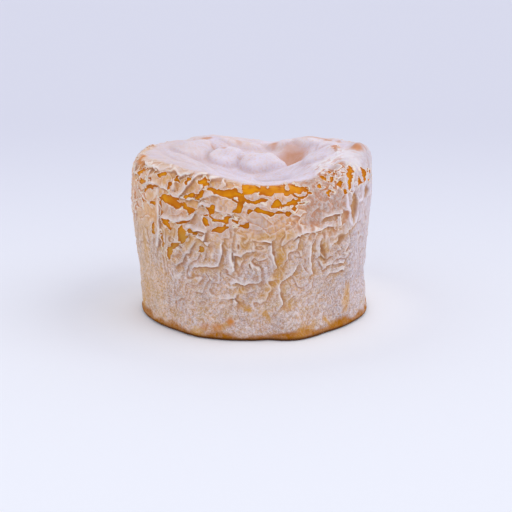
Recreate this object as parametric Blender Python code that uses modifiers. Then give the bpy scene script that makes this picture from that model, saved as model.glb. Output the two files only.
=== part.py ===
"""A small washed-rind cheese with a sunken top: one turned solid, its rim uneven, its hollow full of soft
lobes and its wall covered in wrinkled skin. Metres, +Z up, standing on z = 0, its front towards -Y.

Sizes below are in millimetres, and angles in degrees run round the axis from the front towards +X.
"""

import math

import bpy
import numpy as np

MM = 0.001

# The body
BASE_RADIUS = 36.0
TOP_RADIUS = 38.0
RIM_RADIUS = 32.5
RIM_HEIGHT = 50.0
SHOULDER_HEIGHT = 43.5
FLARE_FROM, FLARE_TO = 10.0, 40.0
BASE_ROUNDING = 1.4
RIM_SQUARENESS = 2.3

# The rim rises and dips round the top: (angle, height)
RIM_HEIGHTS = (
    (-157, 51.1),
    (-134, 50.5),
    (-77, 50.8),
    (-45, 51.4),
    (-28, 50.4),
    (-14, 48.7),
    (6, 47.1),
    (27, 47.2),
    (43, 48.8),
    (57, 51.3),
    (80, 53.2),
    (90, 53.6),
    (106, 51.9),
    (146, 51.2),
    (169, 48.2),
)
RIM_SWAY_FROM = 18.0

# How much further out than a circle the foot stands, and up to what height: (angle, reach)
FOOT_REACH = (
    (-90, -0.1),
    (-56, -0.9),
    (-42, -0.9),
    (-27, 0.4),
    (-8, 0.0),
    (3, -0.4),
    (8, -0.9),
    (15, 1.2),
    (22, 2.0),
    (30, 1.2),
    (39, 0.0),
    (60, 0.6),
    (75, 1.5),
    (95, 1.5),
    (125, 0.3),
)
FOOT_HEIGHT = 14.0

# How far it is out of round: (waves round it, their height as a share of the radius, where they start)
OUT_OF_ROUND = ((2, 0.008, 0.6), (3, 0.006, -1.0))

# The hollow: how far its middle lies under the rim, and its deepest spots as (x, y, radius, depth)
HOLLOW_DEPTH = 7.0
PITS = (
    (5.0, -9.0, 13.0, 2.2),
    (12.5, 12.0, 7.5, 3.0),
)

# Soft lobes that swell in the hollow: (x, y, half width in x, half width in y, height)
LOBES = (
    (2.5, 10.0, 7.2, 5.8, 4.0),
    (-7.5, 13.0, 6.0, 4.6, 3.3),
    (-20.0, 15.0, 5.8, 8.0, 2.6),
    (10.5, 26.0, 4.4, 4.0, 2.0),
    (19.5, 21.5, 4.4, 5.5, 2.2),
    (25.5, 12.0, 4.5, 6.0, 2.0),
    (-19.0, -2.0, 6.5, 6.0, 1.4),
    (22.0, 0.0, 5.0, 6.5, 1.4),
    (-4.0, 26.5, 7.0, 3.2, 1.6),
)
LOBE_CREASE = 1.6
LOBE_BLEND = 1.6  # how unlike in height two lobes may be and still run together

# A knob on the rim: (x, y, radius, height)
KNOB = (33.5, -5.0, 2.8, 0.9)

# The largest folds of the skin, where it drops to the right or down: paths of (angle, height)
FOLDS = (
    ((-47.5, 44.5), (-47.5, 36.5), (-47.5, 32), (-49, 26.5)),
    ((-62, 42.5), (-55.5, 44.5), (-49.5, 45.5), (-41, 44), (-37, 42.5), (-28, 42.5), (-26, 43.5)),
    ((-67.5, 50), (-52, 49.5), (-47, 49), (-39.5, 50), (-33.5, 48.5), (-31, 49)),
    ((-34, 43), (-29.5, 46.5), (-26.5, 49), (-22, 50)),
    ((-34, 48.5), (-36.5, 47.5), (-37, 45)),
    ((-21, 46.5), (-20, 48.5), (-14, 49), (-12, 47.5)),
    ((-25.5, 42.5), (-18.5, 44), (-8.5, 44), (-5, 42.5)),
    ((-23, 41.5), (-15, 39.5), (-8.5, 39)),
    ((-47.5, 35.5), (-37.5, 35), (-28.5, 36.5), (-26.5, 38)),
    ((-29.5, 34), (-23, 30.5), (-20.5, 29)),
    ((-29.5, 32), (-25, 33.5), (-21.5, 32.5), (-22, 30.5)),
    ((-56, 49.5), (-55, 45)),
    ((-71, 48.5), (-71, 46.5), (-61, 45.5)),
    ((-27.5, 22), (-20.5, 22.5), (-15, 23), (-14, 27.5), (-14, 30)),
    ((-9.5, 27.5), (-8, 22), (-8.5, 27), (-5.5, 26.5), (-2, 28), (1, 28), (1, 30.5)),
    ((0, 31.5), (8.5, 30.5), (8.5, 27.5), (11.5, 23)),
    ((20.5, 22.5), (18, 20), (13.5, 18.5), (12.5, 16.5), (14.5, 11)),
    ((-7, 18.5), (-3.5, 17.5), (3, 18.5)),
    ((-14, 13), (-8, 13.5), (-6.5, 12)),
    ((19.5, 32), (24.5, 33), (31.5, 33), (35, 34), (39.5, 33.5)),
    ((21, 32), (21, 28.5)),
    ((27.5, 29), (27, 26), (29, 20)),
    ((32, 30), (33, 25.5), (36.5, 23.5)),
    ((38.5, 28), (46, 30), (57, 32.5)),
    ((33.5, 36.5), (34.5, 37), (44.5, 37)),
    ((43.5, 36.5), (44, 33.5)),
    ((36.5, 21.5), (49, 21)),
    ((38.5, 19), (49, 18.5)),
)

# Round ridges of skin, in the same form
RIDGES = (
    ((46.5, 43.5), (47.5, 40), (49, 37), (50, 34), (52, 32.5), (55.5, 32.5), (57.5, 34), (58, 39)),
    ((58, 39), (63, 39.5), (63.5, 42), (62.5, 44.5)),
    ((54.5, 48.5), (53, 46), (52, 43.5)),
    ((48, 47.5), (47, 45), (46.5, 43.5)),
    ((66, 48), (67, 46), (66, 43.5)),
    ((75.5, 48), (74, 43.5), (76, 39)),
)
FOLD_LIP = 0.70
FOLD_DROP = 0.45
RIDGE_HEIGHT = 0.6
RIDGE_WIDTH = 0.9

# Pockets where the skin is low: (half width, path)
POCKETS = (
    (1.6, ((53, 43), (53, 38), (53.5, 33))),
    (0.8, ((33, 29.5), (34, 27), (36, 24))),
    (0.8, ((46.5, 29.5), (44.5, 27.5))),
    (0.9, ((69, 42), (66.5, 38.5))),
)
POCKET_DEPTH = 0.7

# The wrinkles between them: sheets that overlap round the wall
SHEETS_FROM, SHEETS_FULL = 8.0, 24.0  # heights between which they grow
SHEETS_ROUND = 36
SHEETS_DOWN = 0.10  # sheets per mm of height
SHEET_HEIGHT = 0.9
SWING_SIZE = 5.4  # how far apart the bends of their edges are
SWING = 1.6  # how far their edges bend, in sheets
LIP_AT = 0.70  # where in a sheet its lip stands, as a share of its width

# The skin is calm on the right, between these angles
CALM_FROM, CALM_TO = 52.0, 105.0

# Under the sheets it only rises and falls softly
SWELL_SIZE = 7.0
SWELL_HEIGHT = 0.7

# Near the top it breaks into plates instead
PLATES_FROM, PLATES_FULL = 28.0, 36.0
PLATE_SIZE = 6.0
PLATE_HEIGHT = 0.7

FADE_FROM, FADE_FULL = 0.2, 3.0  # heights between which the skin's relief grows from nothing at the foot
SKIN_MEAN = 0.05  # the skin's usual height, so that its relief goes to both sides of the body
SKIN_SEED = 11
MM_PER_DEGREE = math.radians(TOP_RADIUS)

# The mesh: a fine turned body that is thinned to the faces its shape needs
TURN_STEPS = 400
PROFILE_STEP = 0.55
FACE_BUDGET = 10800

PASTE_COLOUR = (0.62, 0.40, 0.26, 1.0)


def smoothstep(low, high, value):
    t = np.clip((value - low) / (high - low), 0.0, 1.0)
    return t * t * (3 - 2 * t)


def profile():
    """The outline to turn, in (radius, height), from the middle of the hollow over the rim and down."""
    hollow_r = np.arange(0, RIM_RADIUS, PROFILE_STEP)
    hollow = np.stack([hollow_r, RIM_HEIGHT - HOLLOW_DEPTH * hollow_sink(hollow_r)], 1)
    quarter = np.linspace(0, math.pi / 2, 16)
    power = 2 / RIM_SQUARENESS
    rim = np.stack(
        [
            RIM_RADIUS + (TOP_RADIUS - RIM_RADIUS) * np.sin(quarter) ** power,
            SHOULDER_HEIGHT + (RIM_HEIGHT - SHOULDER_HEIGHT) * np.cos(quarter) ** power,
        ],
        1,
    )
    wall_z = np.arange(SHOULDER_HEIGHT, BASE_ROUNDING, -PROFILE_STEP)[1:]
    wall = np.stack([wall_radius(wall_z), wall_z], 1)
    turn = np.linspace(0, math.pi / 2, 6)
    centre = wall_radius(BASE_ROUNDING) - BASE_ROUNDING
    base = np.stack(
        [centre + BASE_ROUNDING * np.cos(turn), BASE_ROUNDING - BASE_ROUNDING * np.sin(turn)], 1
    )
    under_r = np.linspace(centre, 0, 12)[1:]
    under = np.stack([under_r, np.zeros_like(under_r)], 1)
    return np.concatenate([hollow, rim, wall, base, under])


def hollow_sink(radius):
    """How far the hollow has sunk at this radius, from 1 in its middle to 0 on the rim."""
    return 0.5 + 0.5 * np.cos(math.pi * np.clip(radius / RIM_RADIUS, 0, 1) ** 1.15)


def wall_radius(height):
    return BASE_RADIUS + (TOP_RADIUS - BASE_RADIUS) * smoothstep(FLARE_FROM, FLARE_TO, height)


def around(angle, table, soft=17):
    """A table of (angle, value) read smoothly at these angles, with no step where it closes on itself."""
    at = np.array([row[0] for row in table], float)
    values = np.array([row[1] for row in table], float)
    at = np.concatenate([at - 360, at, at + 360])
    values = np.tile(values, 3)
    turn = np.arange(-180, 180, 1.0)
    read = np.interp(turn, at, values)
    read = sum(np.roll(read, k - soft // 2) * w for k, w in enumerate(hann(soft)))
    return np.interp(angle, np.append(turn, 180.0), np.append(read, read[0]))


def hann(count):
    weights = np.hanning(count + 2)[1:-1]
    return weights / weights.sum()


def hashed(corner, seed):
    """A number from 0 to 1 for each whole-number corner of a lattice, the same in every run."""
    x, y, z = (corner[..., k].astype(np.int64) for k in range(3))
    mixed = (x * 73856093) ^ (y * 19349663) ^ (z * 83492791) ^ (seed * 26544357)
    mixed = (mixed ^ (mixed >> 13)) * 1274126177
    mixed = mixed ^ (mixed >> 16)
    return (mixed & 0xFFFFF) / 0xFFFFF


def noise(points, size, seed):
    """Smooth noise from about -1 to 1, its features about this size."""
    scaled = points / size
    corner = np.floor(scaled)
    inside = scaled - corner
    ease = inside**3 * (inside * (inside * 6 - 15) + 10)
    total = np.zeros(len(points))
    for step in np.ndindex(2, 2, 2):
        at = corner + step
        slope = np.stack([hashed(at, seed * 3 + k) for k in range(3)], -1) * 2 - 1
        weight = np.prod(np.where(step, ease, 1 - ease), axis=-1)
        total += weight * np.sum(slope * (inside - step), axis=-1)
    return total * 1.6


def warp(points, size, reach, seed):
    """The points pushed about by noise, so that what is drawn on them bends."""
    return points + reach * np.stack([noise(points, size, seed + k) for k in range(3)], -1)


def plates(points, size, seed):
    """Cells of about this size: the distance to the nearest edge, this cell's level and its neighbour's."""
    scaled = points / size
    corner = np.floor(scaled)
    near = np.full((2, len(points)), 9.0)
    level = np.zeros((2, len(points)))
    for step in np.ndindex(3, 3, 3):
        at = corner + np.array(step) - 1
        seat = np.stack([hashed(at, seed * 5 + k) for k in range(3)], -1)
        gap = np.linalg.norm(at + seat - scaled, axis=-1)
        own = hashed(at, seed * 5 + 3)
        first = gap < near[0]
        second = ~first & (gap < near[1])
        near[1] = np.where(first, near[0], np.where(second, gap, near[1]))
        level[1] = np.where(first, level[0], np.where(second, own, level[1]))
        near[0] = np.where(first, gap, near[0])
        level[0] = np.where(first, own, level[0])
    return (near[1] - near[0]) * size, level[0], level[1]


def angle_of(points):
    """The angle round the axis of each point, in degrees from the front."""
    return np.degrees(np.arctan2(points[:, 0], -points[:, 1]))


def nearest_path(angle, height, paths):
    """How far each place is from the nearest of these paths, and which side of it the place lies on."""
    along = angle * MM_PER_DEGREE
    nearest = np.full(len(along), 9.0)
    side = np.zeros(len(along))
    for path in paths:
        line = np.array(path) * (MM_PER_DEGREE, 1)
        for start, end in zip(line[:-1], line[1:]):
            run = end - start
            part = np.clip(((along - start[0]) * run[0] + (height - start[1]) * run[1]) / (run @ run), 0, 1)
            right, up = along - start[0] - part * run[0], height - start[1] - part * run[1]
            gap = np.hypot(right, up)
            side = np.where(gap < nearest, right - up, side)
            nearest = np.minimum(nearest, gap)
    return nearest, side


def sheet_edge(away):
    """The relief across the edge of a sheet of skin: a lip on its own side, and a drop to the other."""
    own = FOLD_LIP * np.exp(-np.maximum(away, 0) / 1.8)
    under = -FOLD_DROP * np.exp(np.minimum(away, 0) / 1.2)
    return under + (own - under) * smoothstep(-0.6, 0.6, away)


def sheets(phase):
    """Sheets of skin that each rise to a lip and drop to the next, as the phase goes by whole numbers."""
    part = phase - np.floor(phase)
    rise = np.clip(part / LIP_AT, 0, 1)
    return (0.8 * rise + 0.2 * rise**3) * (1 - smoothstep(LIP_AT, 1, part))


def wrinkles(points, angle):
    """The relief of the skin's sheets and plates, away from the large folds."""
    height = points[:, 2] + 5 * noise(points, 13, SKIN_SEED + 90)
    calm = smoothstep(CALM_FROM, CALM_FROM + 8, angle) * smoothstep(CALM_TO, CALM_TO - 20, angle)
    plated = smoothstep(PLATES_FROM, PLATES_FULL, height) * (1 - 0.75 * calm)
    grown = smoothstep(SHEETS_FROM, SHEETS_FULL, height)
    sheeted = (0.2 + 0.8 * grown) * (1 - 0.7 * plated) * (1 - 0.6 * calm)
    swing = warp(points, 6.0, 2.0, SKIN_SEED + 20) * (1, 1, 0.75)
    phase = SHEETS_ROUND * angle / 360 - points[:, 2] * SHEETS_DOWN
    phase += SWING * noise(swing, SWING_SIZE, SKIN_SEED + 26)
    edge, own, beside = plates(warp(points, 5.0, 1.5, SKIN_SEED), PLATE_SIZE, SKIN_SEED)
    plate = 0.4 * own + 0.6 * sheet_edge(np.where(own > beside, edge, -edge))
    swell = SWELL_HEIGHT * (1 - grown) * noise(points * (1, 1, 1.3), SWELL_SIZE, SKIN_SEED + 54)
    return SHEET_HEIGHT * sheeted * sheets(phase) + PLATE_HEIGHT * plated * plate + swell


def skin_relief(points):
    """How far the wrinkled skin of the wall stands off the body at each point, in mm."""
    wobbly = warp(points, 2.5, 0.5, SKIN_SEED + 46)
    angle, height = angle_of(wobbly), wobbly[:, 2]
    from_ridge, _ = nearest_path(angle, height, RIDGES)
    from_fold, side = nearest_path(angle, height, FOLDS)
    ridge = np.exp(-((from_ridge / RIDGE_WIDTH) ** 2))
    fold = smoothstep(3.0, 1.0, from_fold) * (1 - ridge)
    lift = wrinkles(points, angle_of(points)) * (1 - 0.8 * np.maximum(fold, ridge))
    lift += fold * sheet_edge(np.where(side > 0, -from_fold, from_fold)) + RIDGE_HEIGHT * ridge
    for half_width, path in POCKETS:
        from_pocket, _ = nearest_path(angle, height, (path,))
        lift -= POCKET_DEPTH * smoothstep(half_width + 0.5, half_width - 0.7, from_pocket) * (1 - ridge)
    return lift - SKIN_MEAN


def lobes(x, y):
    """The soft lobes of the hollow, with a crease where two of them meet, unless they have run together."""
    flat = np.stack([x, y, np.zeros_like(x)], -1)
    x, y, _ = warp(flat, 10.0, 1.8, SKIN_SEED + 80).T
    swell = np.full((2, len(x)), 0.0)
    for cx, cy, half_x, half_y, height in LOBES:
        reach = ((x - cx) / half_x) ** 2 + ((y - cy) / half_y) ** 2
        own = height * np.clip(1 - reach / 1.5, 0, 1) ** 0.5
        swell[1] = np.maximum(swell[1], np.minimum(swell[0], own))
        swell[0] = np.maximum(swell[0], own)
    meeting = smoothstep(0.1, 0.8, swell[1]) * smoothstep(2.9, 1.7, swell[1])
    apart = swell[0] - swell[1]
    filled = smoothstep(1.0, 2.2, swell[1]) * np.clip(LOBE_BLEND - apart, 0, None) ** 2 / (4 * LOBE_BLEND)
    return swell[0] + filled - LOBE_CREASE * np.exp(-(apart**2) / 0.2) * meeting


def shape(points):
    """Turns the even body into the real one, with its uneven rim and foot, its lobes and its skin."""
    x, y, z = points.T
    radius = np.hypot(x, y)
    angle = angle_of(points)
    turn = np.radians(angle)
    in_hollow = smoothstep(RIM_RADIUS, RIM_RADIUS - 6, radius) * (z > SHOULDER_HEIGHT - 5)
    sway = (around(angle, RIM_HEIGHTS) - RIM_HEIGHT) * smoothstep(RIM_SWAY_FROM, RIM_HEIGHT - 3, z)
    sway *= np.where(z > SHOULDER_HEIGHT - 5, smoothstep(0, RIM_RADIUS, radius), 1)
    swell = 1 + around(angle, FOOT_REACH, 7) / BASE_RADIUS * smoothstep(FOOT_HEIGHT, 1, z)
    for waves, share, start in OUT_OF_ROUND:
        swell += share * np.cos(waves * turn + start)
    high = z + sway
    for at_x, at_y, reach, depth in PITS:
        high -= in_hollow * depth * smoothstep(reach, 0, np.hypot(x - at_x, y - at_y))
    high += smoothstep(RIM_RADIUS - 1, RIM_RADIUS - 9, radius) * (z > 30) * lobes(x, y)
    from_knob = np.hypot(x - KNOB[0], y - KNOB[1])
    high += KNOB[3] * smoothstep(KNOB[2], 0.3 * KNOB[2], from_knob) * (z > 30)
    body = np.stack([x * swell, y * swell, high], -1)
    skin = skin_relief(body) * smoothstep(FADE_FROM, FADE_FULL, z) * (1 - in_hollow)
    outward = np.stack([x, y, np.zeros_like(x)], -1) / np.maximum(radius, 1e-6)[:, None]
    upward = smoothstep(TOP_RADIUS - 0.5, RIM_RADIUS, radius) * (z > SHOULDER_HEIGHT - 3)
    normal = outward * (1 - upward)[:, None] + np.array([0, 0, 1.0]) * upward[:, None]
    normal /= np.maximum(np.linalg.norm(normal, axis=1), 1e-6)[:, None]
    return body + normal * skin[:, None]


def clear_scene():
    for thing in list(bpy.data.objects):
        bpy.data.objects.remove(thing, do_unlink=True)


def turned_body(collection):
    """The even body: the outline turned about the axis."""
    outline = profile() * MM
    mesh = bpy.data.meshes.new("outline")
    points = [(r, 0, z) for r, z in outline]
    mesh.from_pydata(points, [(k, k + 1) for k in range(len(points) - 1)], [])
    body = bpy.data.objects.new("outline", mesh)
    collection.objects.link(body)
    screw = body.modifiers.new("turn", "SCREW")
    screw.steps = screw.render_steps = TURN_STEPS
    screw.use_merge_vertices = True
    screw.merge_threshold = 0.00001
    screw.use_normal_calculate = True
    return body


def rind_material():
    material = bpy.data.materials.new("rind")
    material.use_nodes = True
    shader = material.node_tree.nodes["Principled BSDF"]
    shader.inputs["Base Color"].default_value = PASTE_COLOUR
    shader.inputs["Roughness"].default_value = 0.7
    shader.inputs["Metallic"].default_value = 0.0
    return material


def main():
    clear_scene()
    collection = bpy.data.collections.new("cheese")
    bpy.context.scene.collection.children.link(collection)
    body = turned_body(collection)
    bpy.context.view_layer.update()
    graph = bpy.context.evaluated_depsgraph_get()
    mesh = bpy.data.meshes.new_from_object(body.evaluated_get(graph))
    bpy.data.objects.remove(body)

    count = len(mesh.vertices)
    flat = np.empty(count * 3, np.float32)
    mesh.vertices.foreach_get("co", flat)
    shaped = shape(flat.reshape(-1, 3).astype(float) / MM) * MM
    low, high = shaped.min(0), shaped.max(0)
    shaped[:, :2] -= (low + high)[:2] / 2
    mesh.vertices.foreach_set("co", shaped.astype(np.float32).ravel())
    mesh.update()

    cheese = bpy.data.objects.new("cheese", mesh)
    collection.objects.link(cheese)
    cheese.data.materials.append(rind_material())
    mesh.calc_loop_triangles()
    thin = cheese.modifiers.new("thin", "DECIMATE")
    thin.ratio = FACE_BUDGET / len(mesh.loop_triangles)
    mesh.shade_smooth()


main()
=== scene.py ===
"""The looks of a small washed-rind cheese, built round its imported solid.

The rind is one fine mesh: the solid's own form, its wrinkled skin in relief, and the places where the skin
has torn from the golden paste. Forms are worked out in millimetres and turned into metres at the end.
Angles in degrees run round the axis from the front (-Y) towards +X.
"""

import math
from types import SimpleNamespace

import bpy
import numpy as np
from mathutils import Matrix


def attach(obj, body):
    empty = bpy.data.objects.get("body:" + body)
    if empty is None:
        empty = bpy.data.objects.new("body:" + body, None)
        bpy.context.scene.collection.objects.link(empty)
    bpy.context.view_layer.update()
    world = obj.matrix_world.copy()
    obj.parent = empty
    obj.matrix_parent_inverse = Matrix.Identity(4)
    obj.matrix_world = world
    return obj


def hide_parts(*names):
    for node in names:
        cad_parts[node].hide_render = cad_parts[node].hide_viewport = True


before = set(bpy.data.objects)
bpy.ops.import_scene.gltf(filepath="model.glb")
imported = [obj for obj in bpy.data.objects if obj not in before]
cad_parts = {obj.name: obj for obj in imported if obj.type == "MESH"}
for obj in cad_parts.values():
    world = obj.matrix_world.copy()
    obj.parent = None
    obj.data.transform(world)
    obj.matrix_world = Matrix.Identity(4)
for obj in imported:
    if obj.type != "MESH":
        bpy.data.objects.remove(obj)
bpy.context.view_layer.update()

MM = 0.001

# The body, as the solid has it
BASE_RADIUS = 36.0
TOP_RADIUS = 38.0
RIM_RADIUS = 32.5
RIM_HEIGHT = 50.0
SHOULDER_HEIGHT = 43.5
FLARE_FROM, FLARE_TO = 10.0, 40.0
BASE_ROUNDING = 1.4
RIM_SQUARENESS = 2.3
RIM_HEIGHTS = (
    (-157, 51.1), (-134, 50.5), (-77, 50.8), (-45, 51.4), (-28, 50.4),
    (-14, 48.7), (6, 47.1), (27, 47.2), (43, 48.8), (57, 51.3),
    (80, 53.2), (90, 53.6), (106, 51.9), (146, 51.2), (169, 48.2),
)
RIM_SWAY_FROM = 18.0
# How much further out than a circle the foot stands at each angle
FOOT_REACH = (
    (-90, -0.1), (-56, -0.9), (-42, -0.9), (-27, 0.4), (-8, 0.0),
    (3, -0.4), (8, -0.9), (15, 1.2), (22, 2.0), (30, 1.2),
    (39, 0.0), (60, 0.6), (75, 1.5), (95, 1.5), (125, 0.3),
)
FOOT_HEIGHT = 14.0
# How it is out of round: how many times round, by what share of the radius, and from where
OUT_OF_ROUND = ((2, 0.008, 0.6), (3, 0.006, -1.0))
HOLLOW_DEPTH = 7.0
UNDERSIDE = 0.01  # what is lower than this is underside, and stays flat
HOLLOW_ABOVE = 30  # what is inside the rim and above this is hollow, not underside
# The deepest spots of the hollow: (x, y, radius, depth)
PITS = (
    (5.0, -9.0, 13.0, 2.2),
    (12.5, 12.0, 7.5, 3.0),
)
# The lobes that swell in it: (x, y, half length, half width, height)
LOBES = (
    (2.5, 10.0, 7.2, 5.8, 4.0),
    (-7.5, 13.0, 6.0, 4.6, 3.3),
    (-20.0, 15.0, 5.8, 8.0, 2.6),
    (10.5, 26.0, 4.4, 4.0, 2.0),
    (19.5, 21.5, 4.4, 5.5, 2.2),
    (25.5, 12.0, 4.5, 6.0, 2.0),
    (-19.0, -2.0, 6.5, 6.0, 1.4),
    (22.0, 0.0, 5.0, 6.5, 1.4),
    (-4.0, 26.5, 7.0, 3.2, 1.6),
)
LOBE_CREASE = 0.9  # how deep the crease is between two of them
CREASE_SOFTNESS = 1.0
LOBE_BLEND = 1.6  # how unlike in height two lobes may be and still run together

# A knob on the rim: (x, y, radius, height)
KNOB = (33.5, -5.0, 2.8, 0.9)

# The mesh: columns round the wall, how far apart its rows are, and the radii at which the columns halve
COLUMNS = 608
ROW_STEP = 0.38
HOLLOW_STEP = 0.6  # between the rows in the hollow
UNDER_SHARES = (0.98, 0.94, 0.86, 0.7, 0.4)  # the rows of the underside, as shares of its radius
HALVE_AT = (32.3, 16.0, 8.0, 4.0)

# Places on the wall where the skin has torn off the paste: (half width, path of (angle, height))
TEARS = (
    (1.0, ((-20, 46), (-11.5, 45.3), (-5, 44.8), (4, 45.8))),
    (1.9, ((-5, 45.8), (6, 46.6), (13, 46.3), (26, 45.5))),
    (0.9, ((-5.5, 45), (-4.5, 42))),
    (0.55, ((-4.5, 42.3), (3, 43), (10, 43))),
    (0.9, ((8, 41.8), (14, 42.5), (22, 43))),
    (0.55, ((-2, 39.8), (2, 40.5), (5.5, 40), (9, 39.5), (13.5, 39.5))),
    (0.8, ((-8.5, 39.7), (-6, 41), (-3.5, 41.8))),
    (0.8, ((-19.5, 40.8), (-16.5, 39.8))),
    (0.5, ((-22.5, 38), (-19.5, 38.5), (-16.5, 37), (-13, 37), (-10.5, 38), (-6, 38))),
    (0.15, ((-10.5, 37.8), (-7.5, 36.5), (-5, 36))),
    (0.3, ((16.5, 41), (19.5, 40.5))),
    (0.3, ((19, 42), (22.5, 41.5), (25, 42))),
    (0.3, ((-2, 44), (1, 44.2))),
    (0.8, ((-22.5, 36), (-19.5, 36))),
    (0.9, ((-18, 33.8), (-14.5, 34.2), (-11.5, 34.8))),
    (0.45, ((-2, 37.3), (-2, 35.3))),
    (0.5, ((15, 40.3), (15.5, 38.5))),
    (0.6, ((-5, 47.3), (-2, 47.3))),
    (0.5, ((-26, 48.3), (-22.5, 48.3), (-21.5, 47.5), (-22.5, 45))),
    (0.9, ((-22, 46), (-25.5, 43.5))),
    (1.2, ((-47.5, 42), (-42, 41.5), (-38, 41), (-34, 39.5))),
    (0.8, ((-34.5, 41), (-29.5, 39.3), (-26.5, 39.8))),
    (0.5, ((-50, 48.2), (-43.5, 48.5))),
    (0.6, ((-65, 47.5), (-59, 48.8))),
    (0.8, ((-31.5, 47.5), (-28.5, 48.8))),
    (0.5, ((-37, 47), (-36, 47.8), (-34, 47.5))),
    (0.5, ((-69, 44.5), (-61, 45.3))),
    (0.5, ((-63, 41.2), (-56, 43.3), (-51, 44))),
    (0.8, ((-46.5, 35), (-43.5, 34), (-41, 32.5))),
    (0.5, ((-47, 32), (-46.5, 29), (-47, 25))),
    (1.4, ((-33.5, 34.2), (-34, 31), (-35, 28.3))),
    (0.9, ((-35, 29), (-40, 27), (-43, 25), (-44.5, 22.5))),
    (0.6, ((-30, 33.3), (-25.5, 32.3))),
    (0.6, ((-56.5, 38.8), (-50, 39.7))),
    (0.7, ((-31.5, 42.5), (-28, 44.5))),
    (0.5, ((-53, 33), (-53, 30))),
    (0.5, ((-56, 46.5), (-52, 46))),
    (0.6, ((-41, 45.5), (-38, 46.3))),
    (0.85, ((57, 49.5), (52.5, 48.5), (50.5, 46.5), (50, 43.5))),
    (0.9, ((60.5, 49), (64, 48), (65, 46), (62.5, 44.5))),
    (1.1, ((59.5, 46.5), (58.5, 43.5))),
    (0.9, ((46, 46.5), (44, 45.5), (43.5, 44))),
    (0.6, ((44.5, 49.5), (44.5, 48.5))),
    (0.6, ((38.5, 48.5), (37, 47.5))),
    (0.6, ((33, 46.5), (34, 46))),
    (0.5, ((33, 48.5), (34.5, 48.5))),
    (0.4, ((27, 49.5), (27.5, 49.5))),
    (0.4, ((38, 45), (39, 44))),
    (0.5, ((47, 44), (46.5, 43))),
    (0.8, ((70.5, 48.5), (69.5, 46))),
    (0.8, ((73.5, 46.5), (75.5, 43))),
    (0.6, ((79, 48.5), (81, 45))),
    (0.5, ((36, 44), (37.5, 43))),
    (0.5, ((41, 48), (42, 47))),
    (0.4, ((18.5, 44), (22.5, 43.5), (27.5, 44.5))),
    (0.5, ((-58.5, 48.5), (-56.5, 45.5))),
    (0.5, ((-67, 47), (-63, 45.5), (-58, 45.5))),
    (0.5, ((-72, 43.5), (-71, 38.5))),
    (0.4, ((-64, 40.5), (-62, 36))),
    (0.5, ((-77, 48), (-75, 45.5))),
    (0.5, ((-80, 41), (-78, 35))),
    (0.5, ((-25.5, 27), (-23.5, 27.6))),
)

# Leaves of skin that are left lying across the tears, in the same form as these
LEAVES = (
    (0.9, ((-4.5, 43.3), (1.5, 44.4), (8.5, 44))),
    (1.1, ((5.5, 41.3), (11, 43.8), (17.5, 43.6))),
    (0.7, ((-47.5, 38.5), (-43.5, 39.3), (-40, 37.4))),
    (0.6, ((3, 48), (3.5, 46.6))),
    (0.6, ((7.5, 48), (8, 46.9))),
    (0.5, ((12.5, 47.8), (12.5, 46.8))),
    (0.6, ((16.5, 47.5), (17, 45.8))),
    (0.7, ((-6, 46.6), (-5, 45.3))),
    (0.5, ((-38, 31.5), (-35.5, 30.8))),
)

# Places where the skin is whole but thin, and shows the paste as tan:
# (angle, height, half length, half width, tilt, strength)
THIN_PATCHES = (
    (13, 26, 3.6, 1.5, 95, 1.0), (10, 18.5, 5.0, 1.8, 57, 1.0),
    (34.7, 25.9, 3.0, 1.0, 95, 0.9), (53.6, 36.2, 3.2, 0.9, 90, 0.8),
    (5.5, 32.2, 3.6, 1.0, 0, 0.9), (15, 32.5, 2.4, 0.9, 0, 0.8),
    (17.3, 10.9, 1.6, 1.0, 70, 0.7), (54, 9, 4.0, 1.8, 75, 0.9),
    (-27, 2, 2.4, 1.2, 10, 1.0), (-13, 5, 3.4, 0.7, 25, 0.8),
    (-77, 3.5, 3.0, 1.6, 60, 1.0), (25, 2.5, 3.2, 1.5, 20, 1.0),
    (39, 3.5, 2.0, 0.6, -40, 1.0), (47, 2, 4.0, 0.8, 0, 1.0),
    (-5.8, 15.5, 1.9, 0.8, 5, 0.9), (-3, 10.5, 2.4, 0.9, -15, 0.9),
    (6, 8.6, 1.8, 0.9, -60, 1.0), (-27, 2.7, 1.5, 1.0, 10, 0.9),
    (-28, 18, 2.0, 0.5, -50, 0.8), (-48.5, 18.5, 1.2, 0.7, -40, 0.8),
    (-68, 9, 3.0, 4.0, 0, 0.5), (-62, 24, 1.5, 5.0, 0, 0.6),
    (-14, 30, 2.0, 1.2, 20, 0.7), (-3, 30.5, 1.6, 1.4, 0, 0.7),
    (44, 30, 2.6, 1.0, 20, 0.6), (-36, 20.5, 1.6, 1.0, 0, 0.5),
    (-40, 31.5, 2.6, 1.8, 0, 0.7), (-30, 30.5, 2.4, 1.4, 60, 0.6),
    (-45, 24, 1.6, 2.6, 0, 0.6),
)

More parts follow.
